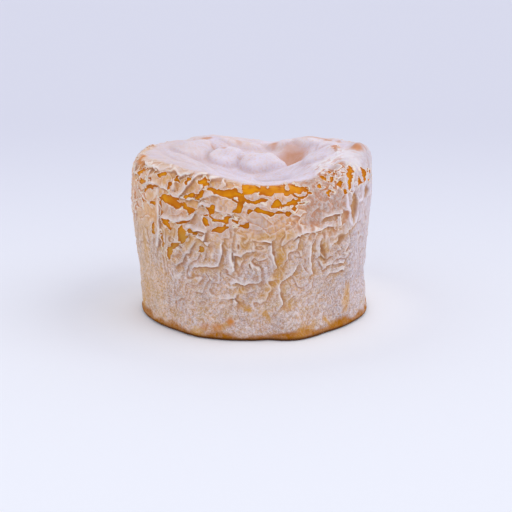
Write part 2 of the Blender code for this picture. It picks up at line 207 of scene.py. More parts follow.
# The largest folds: paths of (angle, height)
FOLDS = (
    ((-47.5, 44.5), (-47.5, 36.5), (-47.5, 32), (-49, 26.5)),
    ((-62, 42.5), (-55.5, 44.5), (-49.5, 45.5), (-41, 44), (-37, 42.5), (-28, 42.5), (-26, 43.5)),
    ((-67.5, 50), (-52, 49.5), (-47, 49), (-39.5, 50), (-33.5, 48.5), (-31, 49)),
    ((-34, 43), (-29.5, 46.5), (-26.5, 49), (-22, 50)),
    ((-34, 48.5), (-36.5, 47.5), (-37, 45)),
    ((-21, 46.5), (-20, 48.5), (-14, 49), (-12, 47.5)),
    ((-25.5, 42.5), (-18.5, 44), (-8.5, 44), (-5, 42.5)),
    ((-23, 41.5), (-15, 39.5), (-8.5, 39)),
    ((-47.5, 35.5), (-37.5, 35), (-28.5, 36.5), (-26.5, 38)),
    ((-29.5, 34), (-23, 30.5), (-20.5, 29)),
    ((-29.5, 32), (-25, 33.5), (-21.5, 32.5), (-22, 30.5)),
    ((-56, 49.5), (-55, 45)),
    ((-71, 48.5), (-71, 46.5), (-61, 45.5)),
    ((-27.5, 22), (-20.5, 22.5), (-15, 23), (-14, 27.5), (-14, 30)),
    ((-9.5, 27.5), (-8, 22), (-8.5, 27), (-5.5, 26.5), (-2, 28), (1, 28), (1, 30.5)),
    ((0, 31.5), (8.5, 30.5), (8.5, 27.5), (11.5, 23)),
    ((20.5, 22.5), (18, 20), (13.5, 18.5), (12.5, 16.5), (14.5, 11)),
    ((-7, 18.5), (-3.5, 17.5), (3, 18.5)),
    ((-14, 13), (-8, 13.5), (-6.5, 12)),
    ((19.5, 32), (24.5, 33), (31.5, 33), (35, 34), (39.5, 33.5)),
    ((21, 32), (21, 28.5)),
    ((27.5, 29), (27, 26), (29, 20)),
    ((32, 30), (33, 25.5), (36.5, 23.5)),
    ((38.5, 28), (46, 30), (57, 32.5)),
    ((33.5, 36.5), (34.5, 37), (44.5, 37)),
    ((43.5, 36.5), (44, 33.5)),
    ((36.5, 21.5), (49, 21)),
    ((38.5, 19), (49, 18.5)),
)

# Round ridges of skin, in the same form as the folds
RIDGES = (
    ((46.5, 43.5), (47.5, 40), (49, 37), (50, 34), (52, 32.5), (55.5, 32.5), (57.5, 34), (58, 39)),
    ((58, 39), (63, 39.5), (63.5, 42), (62.5, 44.5)),
    ((54.5, 48.5), (53, 46), (52, 43.5)),
    ((48, 47.5), (47, 45), (46.5, 43.5)),
    ((66, 48), (67, 46), (66, 43.5)),
    ((75.5, 48), (74, 43.5), (76, 39)),
)
RIDGE_HEIGHT = 0.6
RIDGE_WIDTH = 0.8

# Pockets between ridges, where the skin is low and brown, in the same form as the tears
POCKETS = (
    (2.2, ((54, 42.5), (54.5, 38), (54.5, 34))),
    (0.8, ((33, 29.5), (34, 27), (36, 24))),
    (1.2, ((47.5, 30.5), (45, 29), (43, 27))),
    (1.6, ((71, 42.5), (69, 38.5))),
)
POCKET_DEPTH = 0.7

SKIN_SEED = 11  # what all seeds are counted from
LIP_AT = 0.86  # where in a terrace its lip stands
SKIN_MEAN = 0.75  # the skin's usual height over the paste, so that its relief goes both ways
MM_PER_DEGREE = math.radians(TOP_RADIUS)
SLANT_TURN = math.radians(-40)  # where round the wall the slanted plates are truest
# How plates are squeezed: the flat ones, the upright ones, and the slanted ones along and across
FLAT_SQUEEZE = (0.85, 0.85, 1.6)
UPRIGHT_SQUEEZE = (1, 1, 0.5)
SLANT_SQUEEZE = (1 / 1.8, 1.05)
FLAT_SIZE, SLANTED_SIZE, UPRIGHT_SIZE = 4.8, 5.4, 4.4
UNSEEN_TEAR = 3.0  # mm from a tear's edge for one step of chance, where the photo doesn't show the wall
TERRACES_ROUND = 36  # a whole number, so that they meet at the back
TERRACES_DOWN = 0.10  # per mm
SMALL_ROUND = 66  # the small terraces between them, likewise
FLAKE_SIZE = 2.6  # the flakes on the right of the rim
FLAKE_CRACK = 0.3  # how wide half a crack between them is
FLAKE_SHARPNESS = 1.3
SLIT_FROM_FOLD, SLIT_WIDTH = 0.55, 0.35  # how far under a fold's edge the paste shows, and half how wide
CREST_AT = 0.22  # how far above what is round it a place is a full crest, or below it a full crease
SKIN_ROUNDS, BODY_ROUNDS = 10, 12  # how often heights are averaged to tell what is round a place

# Between which angles the plates are slanted, and between which they stand upright
SLANTED_SIDE = (-66, -16)
UPRIGHT_SIDES = ((40, 110), (-100, -66))

# Sides of the wall: the angles over which each comes in, and those over which it goes out
FRONT = (-68, -50), (12, 26)
RIGHT = (38, 60), (90, 120)
RIGHT_TOP = (30, 48), (95, 115)
BARE_SIDE = (52, 60), (85, 105)
SMOOTH_RIM = (-105, -85), (5, 20)
SLIT_SIDE = (-80, -66), (14, 24)
CALM_SIDE = (-120, -90), (-48, -36)
PEACH_SIDE = (-130, -90), (-60, -20)
CREAM_SIDE = (-140, -110), (-58, -38)
COOL_LOW = (20, 42), (80, 110)
COOL_HIGH = (22, 38), (56, 70)
# Where the flakes are, in the same form but by x in mm
FLAKES_X = (17, 20), (26.5, 29)

# Stained places: (x, y, z, reach, strength)
STAINS = (
    (13.5, 15, 44.5, 6.0, 0.9),
    (14.0, 20, 46.0, 4.5, 0.9),
    (23.0, 22, 47.2, 3.6, 0.6),
    (21.5, 5, 50.5, 3.0, 0.4),
    (-9.0, 15.5, 50.0, 1.8, 0.7),
    (-4.5, 24, 49.5, 1.4, 0.5),
    (-13.0, 18, 48.5, 1.6, 0.9),
    (7.0, 23.5, 48.5, 2.2, 0.9),
    (32.0, -6.5, 52.8, 2.6, 0.85),
    (34.8, -4.0, 53.6, 1.6, 0.6),
    (16.5, -7.0, 47.5, 0.9, 0.9),
    (17.5, -12.0, 48.0, 0.9, 0.8),
    (16.0, -18.5, 47.0, 0.9, 0.8),
    (-7.0, -36.0, 6.0, 1.5, 1.0),
    (-10.5, -35.0, 4.0, 1.6, 0.7),
    (-14.0, -34.0, 3.6, 1.4, 0.6),
)
# Places where the bloom is thickest, in the same form
CHALK = (
    (22.0, -14.5, 49.5, 5.0, 0.9),
    (27.5, -11.5, 51.5, 6.0, 1.0),
    (30.0, -16.0, 50.5, 4.5, 0.8),
)

# Thin orange lines on the rim: paths of (x, y)
RIM_LINES = (
    ((14, 26), (19, 25.5), (23.5, 22.5), (27, 16), (29, 9)),
    ((26, -5), (28.5, -6), (31, -9.5)),
    ((-18.5, 25), (-14, 26)),
    ((-33.5, -9), (-34, -13), (-32.5, -17)),
)


def smoothstep(low, high, value):
    t = np.clip((value - low) / (high - low), 0.0, 1.0)
    return t * t * (3 - 2 * t)


def hollow_sink(radius):
    """How far the hollow has sunk at this radius, from 1 in its middle to 0 on the rim."""
    return 0.5 + 0.5 * np.cos(math.pi * np.clip(radius / RIM_RADIUS, 0, 1) ** 1.15)


def wall_radius(height):
    return BASE_RADIUS + (TOP_RADIUS - BASE_RADIUS) * smoothstep(FLARE_FROM, FLARE_TO, height)


def around(angle, table, soft=17):
    """A table of (angle, value) read smoothly at these angles, with no step where it closes on itself."""
    at = np.array([row[0] for row in table], float)
    values = np.array([row[1] for row in table], float)
    at = np.concatenate([at - 360, at, at + 360])
    values = np.tile(values, 3)
    turn = np.arange(-180, 180, 1.0)
    read = np.interp(turn, at, values)
    read = sum(np.roll(read, k - soft // 2) * w for k, w in enumerate(hann(soft)))
    return np.interp(angle, np.append(turn, 180.0), np.append(read, read[0]))


def hann(count):
    weights = np.hanning(count + 2)[1:-1]
    return weights / weights.sum()


def hashed(corner, seed):
    """A number from 0 to 1 for each whole-number corner of a lattice, the same in every run."""
    x, y, z = (corner[..., k].astype(np.int64) for k in range(3))
    mixed = (x * 73856093) ^ (y * 19349663) ^ (z * 83492791) ^ (seed * 26544357)
    mixed = (mixed ^ (mixed >> 13)) * 1274126177
    mixed = mixed ^ (mixed >> 16)
    return (mixed & 0xFFFFF) / 0xFFFFF


def noise(points, size, seed):
    """Smooth noise from about -1 to 1, its features about this size."""
    seed += SKIN_SEED
    scaled = points / size
    corner = np.floor(scaled)
    inside = scaled - corner
    ease = inside**3 * (inside * (inside * 6 - 15) + 10)
    total = np.zeros(len(points))
    for step in np.ndindex(2, 2, 2):
        at = corner + step
        slope = np.stack([hashed(at, seed * 3 + k) for k in range(3)], -1) * 2 - 1
        weight = np.prod(np.where(step, ease, 1 - ease), axis=-1)
        total += weight * np.sum(slope * (inside - step), axis=-1)
    return total * 1.6


def warp(points, size, reach, seed):
    """The points pushed about by noise, so that what is drawn on them bends."""
    return points + reach * np.stack([noise(points, size, seed + k) for k in range(3)], -1)


def plates(points, size, seed):
    """Cells of about this size: the distance to the nearest edge, this cell's level and its neighbour's."""
    seed += SKIN_SEED
    scaled = points / size
    corner = np.floor(scaled)
    near = np.full((2, len(points)), 9.0)
    level = np.zeros((2, len(points)))
    for step in np.ndindex(3, 3, 3):
        at = corner + np.array(step) - 1
        seat = np.stack([hashed(at, seed * 5 + k) for k in range(3)], -1)
        gap = np.linalg.norm(at + seat - scaled, axis=-1)
        own = hashed(at, seed * 5 + 3)
        first = gap < near[0]
        second = ~first & (gap < near[1])
        near[1] = np.where(first, near[0], np.where(second, gap, near[1]))
        level[1] = np.where(first, level[0], np.where(second, own, level[1]))
        near[0] = np.where(first, gap, near[0])
        level[0] = np.where(first, own, level[0])
    return (near[1] - near[0]) * size, level[0], level[1]


def lobes(x, y):
    """The soft lobes of the hollow, with a crease where two of them meet, unless they have run together."""
    flat = np.stack([x, y, np.zeros_like(x)], -1)
    x, y, _ = warp(flat, 10.0, 1.8, 80).T
    swell = np.full((2, len(x)), 0.0)
    for cx, cy, half_x, half_y, height in LOBES:
        reach = ((x - cx) / half_x) ** 2 + ((y - cy) / half_y) ** 2
        inside = np.clip(1 - reach / 1.5, 0, 1)
        own = height * inside**0.5 * smoothstep(0, 0.2, inside)
        swell[1] = np.maximum(swell[1], np.minimum(swell[0], own))
        swell[0] = np.maximum(swell[0], own)
    meeting = smoothstep(0.1, 0.8, swell[1]) * smoothstep(2.9, 1.7, swell[1])
    apart = swell[0] - swell[1]
    filled = smoothstep(1.0, 2.2, swell[1]) * np.clip(LOBE_BLEND - apart, 0, None) ** 2 / (4 * LOBE_BLEND)
    return swell[0] + filled - LOBE_CREASE * np.exp(-(apart**2) / CREASE_SOFTNESS) * meeting


def body_form(points):
    """The even body made uneven: its rim sways, it is out of round, and its hollow swells in lobes."""
    x, y, z = points.T
    radius = np.hypot(x, y)
    angle = np.degrees(np.arctan2(x, -y))
    turn = np.radians(angle)
    in_hollow = smoothstep(RIM_RADIUS, RIM_RADIUS - 6, radius) * (z > SHOULDER_HEIGHT - 5)
    sway = (around(angle, RIM_HEIGHTS) - RIM_HEIGHT) * smoothstep(RIM_SWAY_FROM, RIM_HEIGHT - 3, z)
    sway *= np.where(z > SHOULDER_HEIGHT - 5, smoothstep(0, RIM_RADIUS, radius), 1)
    swell = 1 + sum(share * np.cos(lobe_count * turn + start) for lobe_count, share, start in OUT_OF_ROUND)
    swell += around(angle, FOOT_REACH, 7) / BASE_RADIUS * smoothstep(FOOT_HEIGHT, 1, z)
    high = z + sway
    for at_x, at_y, reach, depth in PITS:
        high -= in_hollow * depth * smoothstep(reach, 0, np.hypot(x - at_x, y - at_y))
    high += smoothstep(RIM_RADIUS - 1, RIM_RADIUS - 9, radius) * (z > HOLLOW_ABOVE) * lobes(x, y)
    from_knob = np.hypot(x - KNOB[0], y - KNOB[1])
    high += KNOB[3] * smoothstep(KNOB[2], 0.3 * KNOB[2], from_knob) * (z > HOLLOW_ABOVE)
    return np.stack([x * swell, y * swell, high], -1)


# The mesh of rings


def outline():
    """(radius, height) of each ring, from the middle of the hollow over the rim to the underside."""
    hollow_r = np.arange(HOLLOW_STEP, RIM_RADIUS - 0.3, HOLLOW_STEP)
    hollow = np.stack([hollow_r, RIM_HEIGHT - HOLLOW_DEPTH * hollow_sink(hollow_r)], 1)
    quarter = np.linspace(0, math.pi / 2, 26)
    power = 2 / RIM_SQUARENESS
    rim_r = RIM_RADIUS + (TOP_RADIUS - RIM_RADIUS) * np.sin(quarter) ** power
    rim_z = SHOULDER_HEIGHT + (RIM_HEIGHT - SHOULDER_HEIGHT) * np.cos(quarter) ** power
    wall_z = np.arange(SHOULDER_HEIGHT, BASE_ROUNDING, -ROW_STEP)[1:]
    wall = np.stack([wall_radius(wall_z), wall_z], 1)
    turn = np.linspace(0, math.pi / 2, 9)
    centre = wall_radius(BASE_ROUNDING) - BASE_ROUNDING
    base_r = centre + BASE_ROUNDING * np.cos(turn)
    base_z = BASE_ROUNDING - BASE_ROUNDING * np.sin(turn)
    under_r = centre * np.array(UNDER_SHARES)
    under = np.stack([under_r, np.zeros_like(under_r)], 1)
    rim, base = np.stack([rim_r, rim_z], 1), np.stack([base_r, base_z], 1)
    return np.concatenate([hollow, rim, wall, base, under]), len(under_r)


def columns_at(radius):
    """How many columns a ring of this radius has."""
    return COLUMNS >> sum(radius < limit for limit in HALVE_AT)


def join_rings(faces, first, many, second, few):
    """Faces between two rings, the second with as many vertices as the first, or half or twice."""
    if many == few:
        for k in range(many):
            after = (k + 1) % many
            faces.append((first + k, second + k, second + after, first + after))
        return
    narrow, wide, count = (second, first, few) if many > few else (first, second, many)
    for k in range(count):
        here, after = narrow + k, narrow + (k + 1) % count
        left, middle, right = wide + 2 * k, wide + 2 * k + 1, wide + (2 * k + 2) % (2 * count)
        for face in ((left, here, middle), (middle, here, after), (middle, after, right)):
            faces.append(face if many > few else face[::-1])


def even_body():
    """Vertices in mm and faces of the even body."""
    rings, under_count = outline()
    points = [np.array([[0.0, 0.0, RIM_HEIGHT - HOLLOW_DEPTH]])]
    starts, counts = [], []
    start = 1
    for index, (radius, height) in enumerate(rings):
        from_end = len(rings) - 1 - index
        if from_end < under_count:
            count = COLUMNS >> min(under_count - from_end, len(HALVE_AT))
        else:
            count = columns_at(radius)
        turn = np.arange(count) * 2 * math.pi / count
        points.append(np.stack([radius * np.cos(turn), radius * np.sin(turn), np.full(count, height)], 1))
        starts.append(start)
        counts.append(count)
        start += count
    points.append(np.zeros((1, 3)))
    faces = [(0, starts[0] + k, starts[0] + (k + 1) % counts[0]) for k in range(counts[0])]
    for k in range(len(starts) - 1):
        join_rings(faces, starts[k], counts[k], starts[k + 1], counts[k + 1])
    last, many = starts[-1], counts[-1]
    faces += [(last + k, start, last + (k + 1) % many) for k in range(many)]
    return np.concatenate(points), faces


def triangles_of(faces):
    """The faces as triangles, for sums over the surface."""
    split = []
    for face in faces:
        split.append(face[:3])
        if len(face) == 4:
            split.append((face[0], face[2], face[3]))
    return np.array(split)


def vertex_normals(points, triangles):
    a, b, c = (points[triangles[:, k]] for k in range(3))
    across = np.cross(b - a, c - a)
    total = np.zeros_like(points)
    for k in range(3):
        for axis in range(3):
            total[:, axis] += np.bincount(triangles[:, k], across[:, axis], len(points))
    return total / np.maximum(np.linalg.norm(total, axis=1), 1e-12)[:, None]


def spread(values, triangles, rounds):
    """The values averaged with their neighbours' this many times."""
    count = len(values)
    ends = np.concatenate([triangles[:, [0, 1]], triangles[:, [1, 2]], triangles[:, [2, 0]]])
    degree = np.bincount(ends[:, 0], minlength=count) + np.bincount(ends[:, 1], minlength=count)
    for _ in range(rounds):
        total = np.bincount(ends[:, 0], values[ends[:, 1]], count)
        total += np.bincount(ends[:, 1], values[ends[:, 0]], count)
        values = 0.5 * values + 0.5 * total / degree
    return values


# The skin


def patches(angle, height, table):
    """How deep each place is in the nearest patch of a table."""
    deep = np.zeros_like(angle)
    for at, z, half_length, half_width, tilt, strength in table:
        along = ((angle - at + 180) % 360 - 180) * MM_PER_DEGREE
        up = height - z
        lean = math.radians(tilt)
        u = (along * math.cos(lean) + up * math.sin(lean)) / half_length
        v = (-along * math.sin(lean) + up * math.cos(lean)) / half_width
        deep = np.maximum(deep, strength * np.exp(-((u * u + v * v) ** 2) / 2.2))
    return deep


def skin_plates(points, angle):
    """The plates that the skin breaks into: mm from the edge, below 0 on the lower of two, and the level.

    They lie flat in front, slant on its left, and stand upright on its right and far left."""
    right = np.array((math.cos(SLANT_TURN), math.sin(SLANT_TURN), 0))
    rising = (right + (0, 0, 1)) / math.sqrt(2)
    across = (-right + (0, 0, 1)) / math.sqrt(2)
    outward = np.cross(right, (0, 0, 1))
    slanted = [points @ rising * SLANT_SQUEEZE[0], points @ across * SLANT_SQUEEZE[1], points @ outward]
    found = (
        plates(points * FLAT_SQUEEZE, FLAT_SIZE, 0),
        plates(np.stack(slanted, -1), SLANTED_SIZE, 1),
        plates(points * UPRIGHT_SQUEEZE, UPRIGHT_SIZE, 2),
    )
    kind = np.zeros(len(points), int)
    for number, (start, end) in ((1, SLANTED_SIDE), *((2, side) for side in UPRIGHT_SIDES)):
        kind[(angle > start) & (angle < end)] = number
    edge, own, beside = (np.choose(kind, [f[k] for f in found]) for k in range(3))
    return np.where(own > beside, edge, -edge), own


def path_gap(along, height, path, stretch=1.0):
    """How far each place is from a path, on which side of it, and how far along it from 0 to 1."""
    line = np.array(path) * (stretch, 1)
    nearest = np.full(len(along), 99.0)
    side, share = np.zeros_like(nearest), np.zeros_like(nearest)
    for k, (start, end) in enumerate(zip(line[:-1], line[1:])):
        run = end - start
        part = np.clip(((along - start[0]) * run[0] + (height - start[1]) * run[1]) / (run @ run), 0, 1)
        right, up = along - start[0] - part * run[0], height - start[1] - part * run[1]
        gap = np.hypot(right, up)
        closer = gap < nearest
        side = np.where(closer, right - up, side)
        share = np.where(closer, (k + part) / (len(line) - 1), share)
        nearest = np.where(closer, gap, nearest)
    return nearest, side, share


def from_strips(along, height, table):
    """How far each place is outside the nearest strip of a table, whose strips narrow to their ends."""
    away = np.full(len(along), 99.0)
    for half_width, path in table:
        gap, _, share = path_gap(along, height, path, MM_PER_DEGREE)
        away = np.minimum(away, gap - half_width * (1.1 - np.abs(2 * share - 1) ** 2.4))
    return away


def cusps(points, size, seed):
    """Noise from -1 to 1 with sharp crests, so that a line drawn at a level of it runs to points."""
    return 1 - 3.0 * np.abs(noise(points, size, seed)) - 0.25


def from_tears(points):
    """How far each place is from a tear's edge, above 0 on skin and below on paste."""
    angle, height = wall_place(points)
    along = angle * MM_PER_DEGREE
    away = np.maximum(from_strips(along, height, TEARS) - 0.15, -from_strips(along, height, LEAVES))
    band = smoothstep(27, 38, height + 5 * noise(points, 17, 44)) * smoothstep(50, 46, height)
    chance = noise(points * (1, 1, 1.7), 6, 45) * 1.1 - 0.35 + 0.45 * band
    unseen = smoothstep(70, 84, np.abs(angle))
    away = np.minimum(away, UNSEEN_TEAR * (0.5 - chance * unseen))
    narrow = points * (1, 1, 1.4)
    return away + 0.50 * cusps(narrow, 3.0, 47) + 0.22 * cusps(narrow, 1.6, 48)


def large_folds(angle, height):
    """How far each place is from a fold's edge, above 0 on its upper left, and how strong the fold is."""
    along = angle * MM_PER_DEGREE
    nearest = np.full(len(angle), 9.0)
    side = np.ones(len(angle))
    for path in FOLDS:
        gap, this_side, _ = path_gap(along, height, path, MM_PER_DEGREE)
        side = np.where(gap < nearest, this_side, side)
        nearest = np.minimum(nearest, gap)
    return np.where(side > 0, -nearest, nearest), smoothstep(3.0, 1.0, nearest)


def ridges(angle, height):
    """1 on the line of a round ridge, and less beside it."""
    nearest = np.full(len(angle), 9.0)
    for path in RIDGES:
        gap = path_gap(angle * MM_PER_DEGREE, height, path, MM_PER_DEGREE)[0]
        nearest = np.minimum(nearest, gap)
    return np.exp(-((nearest / RIDGE_WIDTH) ** 2))


def sheet_edge(away):
    """The relief across the edge of a sheet of skin: a lip on its own side, and a drop to the other."""
    own = 0.55 * np.exp(-np.maximum(away, 0) / 1.8) + 0.20 * np.exp(-(((away - 0.35) / 0.3) ** 2))
    under = -0.40 * np.exp(np.minimum(away, 0) / 1.0)
    return under + (own - under) * smoothstep(-0.25, 0.2, away)


def wall_place(points):
    """The angle and height of each point."""
    return np.degrees(np.arctan2(points[:, 0], -points[:, 1])), points[:, 2]


def blobs(points, table):
    """How strong each place is in the nearest blob of a table."""
    total = np.zeros(len(points))
    for x, y, z, reach, strength in table:
        away = np.linalg.norm(points - (x, y, z), axis=-1) / reach
        total = np.maximum(total, strength * smoothstep(1.3, 0.35, away))
    return total


def stains(points):
    """Where the rind is stained brown or orange, from the list of stains and the lines on the rim."""
    bent = warp(warp(points, 5.0, 1.0, 95), 2.0, 0.5, 98)
    total = blobs(bent, STAINS)
    for path in RIM_LINES:
        away = path_gap(bent[:, 0], bent[:, 1], path)[0] + 0.7 * noise(points, 2.4, 105)
        broken = smoothstep(-0.35, 0.25, noise(points, 3.5, 106))
        on_rim = points[:, 2] > SHOULDER_HEIGHT
        total = np.maximum(total, 0.95 * broken * smoothstep(1.5, 0.4, away) * on_rim)
    return total


def terraces(phase):
    """Sheets of skin that each rise from 0 to a lip at 1 and drop to the next, one for each whole phase."""
    part = phase - np.floor(phase)
    rise = np.clip(part / LIP_AT, 0, 1)
    return (0.7 * rise + 0.3 * rise**5) * (1 - smoothstep(LIP_AT, 1, part))


def between(value, rise, fall):
    """1 between a rise and a fall, and 0 before the one and after the other."""
    return smoothstep(*rise, value) * smoothstep(fall[1], fall[0], value)


def patchy(points, size, seed, low, high):
    """0 to 1 in patches of about this size."""
    return smoothstep(low, high, noise(points, size, seed))


def flaky_share(points, radius, height, sway):
    """Where the skin lies in small flakes: on the inner side of the rim, on the right."""
    share = between(points[:, 0] + 1.5 * sway, *FLAKES_X) * smoothstep(3, -3, points[:, 1])
    share *= smoothstep(43.5, 45.5, height)
    share *= smoothstep(23, 26, radius + 1.5 * noise(points, 4, 63))
    return share * patchy(points, 4.5, 65, -0.5, -0.1)


def regions(points, radius, even_height):
    """How much each place belongs to each part of the surface, from 0 to 1."""
    at = SimpleNamespace()
    at.angle, at.height = wall_place(points)
    at.sway = noise(points, 13, 90)
    smooth = between(at.angle, *SMOOTH_RIM)
    smooth = np.maximum(smooth, 1.8 * smoothstep(95, 125, np.abs(at.angle)))
    inside_from = RIM_RADIUS + 0.8 + 2.0 * smooth + 1.2 * noise(points, 5, 91)
    at.in_hollow = smoothstep(inside_from, inside_from - 3.5, radius) * (even_height > HOLLOW_ABOVE)
    at.wall = 1 - at.in_hollow
    at.upper = smoothstep(28, 36, at.height + 4 * at.sway)
    at.middle = smoothstep(8, 25, at.height + 6 * at.sway)
    at.near_rim = smoothstep(46.5, 49.5, at.height) * at.wall
    at.front = between(at.angle, *FRONT)
    at.right = between(at.angle, *RIGHT)
    at.right_top = between(at.angle, *RIGHT_TOP) * smoothstep(44.5, 47.5, at.height)
    at.bare_side = between(at.angle, *BARE_SIDE)
    at.crumbly = smoothstep(19, 26, at.angle + 4 * at.sway) * smoothstep(50, 42, at.angle)
    at.crumbly *= smoothstep(33, 36, at.height)
    at.unseen = smoothstep(66, 80, np.abs(at.angle))
    at.flaky = flaky_share(points, radius, at.height, at.sway)
    return at


def lay_terraces(points, at):
    """Adds the phases of the wrinkles and of the small ones between them."""
    swing = warp(points, 6.0, 2.0, 20)
    swing = warp(swing, 2.0, 0.6, 23) * (1, 1, 0.75)
    at.phase = 1.6 * noise(swing, 5.4, 26) + 0.35 * noise(swing, 3.0, 27)
    at.phase += TERRACES_ROUND * at.angle / 360 - at.height * TERRACES_DOWN
    flutter = warp(points, 2.8, 0.9, 56) * (1, 1, 0.8)
    at.small = 1.3 * noise(flutter, 2.9, 59)
    at.small += SMALL_ROUND * at.angle / 360 + at.height * TERRACES_DOWN


def lay_folds(points, at):
    """Adds the large folds, the round ridges and the pockets."""
    angle, height = wall_place(warp(points, 2.5, 0.5, 46))
    at.ridge = ridges(angle, height) * at.wall * (0.7 + 0.3 * patchy(points, 4, 49, -0.5, 0.3))
    at.from_fold, fold = large_folds(angle, height)
    at.fold = fold * (0.35 + 0.65 * patchy(points, 5, 52, -0.5, 0.1))
    from_pocket = from_strips(angle * MM_PER_DEGREE, height, POCKETS)
    from_pocket += 0.8 * noise(points, 2.2, 67)
    at.pocket = smoothstep(0.5, -0.5, from_pocket) * at.wall


def lay_plates(points, at):
    """Adds the plates and flakes, and how far each place is inside the skin's edge."""
    bent = warp(warp(points, 7.0, 2.5, 6), 5.0, 1.5, 0)
    bent = warp(bent, 1.7, 0.5, 10)
    edge, own = skin_plates(bent, at.angle + 5 * noise(points, 6, 92))
    plated = at.upper * at.wall * (1 - 0.95 * at.crumbly) * (1 - 0.9 * at.right_top)
    plated *= 1 - 0.75 * at.bare_side

    gap = -1.2 + (0.9 + 0.1 * at.front) * at.unseen * plated + 0.5 * noise(bent, 2.8, 41)
    tear = from_tears(warp(warp(points, 3.5, 0.7, 43), 1.6, 0.2, 53))
    slit_share = at.upper * between(at.angle, *SLIT_SIDE) * patchy(points, 3.6, 66, -0.15, 0.35)
    slit = np.abs(at.from_fold + SLIT_FROM_FOLD) - SLIT_WIDTH * slit_share + (1 - slit_share)
    cover = np.minimum(np.abs(edge) - gap, np.minimum(tear, slit))
    at.cover = np.where(at.wall > 0.4, cover, 2.0)
    at.skin = smoothstep(-0.15, 0.25, at.cover)

    plated *= (1 - 0.55 * at.front) * (0.4 + 0.6 * patchy(points, 7, 42, -0.4, 0.2))
    flake, flake_own = plates(warp(points, 3.0, 1.0, 64), FLAKE_SIZE, 7)[:2]
    flaked = at.flaky > 0.3
    at.plated = plated * (1 - at.flaky) + at.flaky
    at.edge = np.where(flaked, FLAKE_SHARPNESS * (flake - FLAKE_CRACK), edge)
    at.own = np.where(flaked, flake_own, own)


def skin_relief(points, even_height, at):
    """The relief of the skin in mm. It adds how high the wrinkles stand."""
    calm = patchy(points, 11, 55, -0.1, 0.35) * (1 - 0.6 * at.middle)
    calm = np.maximum(calm, 0.85 * at.bare_side)
    at.step = at.wall * (0.2 + 0.8 * at.middle) * (1 - 0.7 * at.upper) * (1 - 0.7 * calm)
    at.step *= (1 - 0.8 * at.fold) * (1 - 0.8 * at.ridge) * (1 - 0.65 * between(at.angle, *CALM_SIDE))
    at.small_step = at.wall * (0.35 + 0.65 * patchy(points, 9, 57, -0.3, 0.3)) * (1 - 0.6 * at.upper)
    at.small_step *= (0.4 + 0.6 * at.middle) * (1 - 0.5 * calm)

    hem = np.exp(-(((at.cover - 0.25) / 0.22) ** 2))
    lift = at.skin * (at.step * terraces(at.phase) + 0.38 * at.small_step * terraces(at.small))
    lift += at.skin * at.plated * (0.30 * at.own + 0.45 * sheet_edge(at.edge))
    lift += at.skin * (0.40 + at.wall * 0.20 * hem)
    lift += at.fold * at.wall * sheet_edge(at.from_fold) * (1 - at.ridge) + RIDGE_HEIGHT * at.ridge
    lift -= POCKET_DEPTH * at.pocket * (1 - at.ridge)
    lift += 0.7 * (1 - at.middle) * at.wall * noise(points * (1, 1, 1.3), 7, 54)
    lift += at.crumbly * at.wall * 0.22 * noise(points, 1.1, 32)
    fine = noise(points, 1.3, 30) * 0.12 + noise(points, 0.8, 31) * 0.09
    lift += fine * (0.3 + 0.7 * at.skin) * (0.3 + 0.7 * at.wall)
    lift += 0.5 * noise(points, 14, 50) * at.wall
    lift += 0.5 * noise(points, 6, 51) * at.in_hollow
    return (lift - SKIN_MEAN) * smoothstep(0.15, 2.6, even_height)


def bloom_share(points, at):
    """How much white bloom lies on the skin."""
    bloom = 0.24 + 0.34 * smoothstep(36, 14, at.height) + 0.30 * noise(points, 9, 60)
    bloom += 0.55 * at.right + 0.25 * at.bare_side + 0.85 * np.maximum(at.in_hollow, at.right_top)
    bloom += 0.4 * at.near_rim - 0.45 * between(at.angle, *PEACH_SIDE) * at.wall
    return np.clip(bloom, 0, 1)


def cool_and_shade_share(points, at):
    """How cool the skin's colour is, and how much painted shade greys the hollow's left side."""
    cool_and_shade = between(at.angle, *COOL_LOW) * smoothstep(30, 22, at.height)
    cool_and_shade *= 1 - 0.6 * smoothstep(54, 66, at.angle)
    for share in (
        0.8 * between(at.angle, *COOL_HIGH) * smoothstep(47, 40, at.height),
        0.8 * patchy(points, 8, 72, 0.0, 0.5) * at.wall,
        # painted shade: the left side of the hollow is greyed
        0.5 * at.in_hollow * smoothstep(-6, -20, points[:, 0]),
    ):
        cool_and_shade = np.maximum(cool_and_shade, share)
    return cool_and_shade


def warm_share(at):
    """How golden the skin is where it is thin."""
    warm = at.wall * at.upper * (1 - 0.8 * at.right) * (1 - at.right_top) * (1 - 0.5 * at.near_rim)
    return np.maximum(warm, 0.85 * at.flaky)


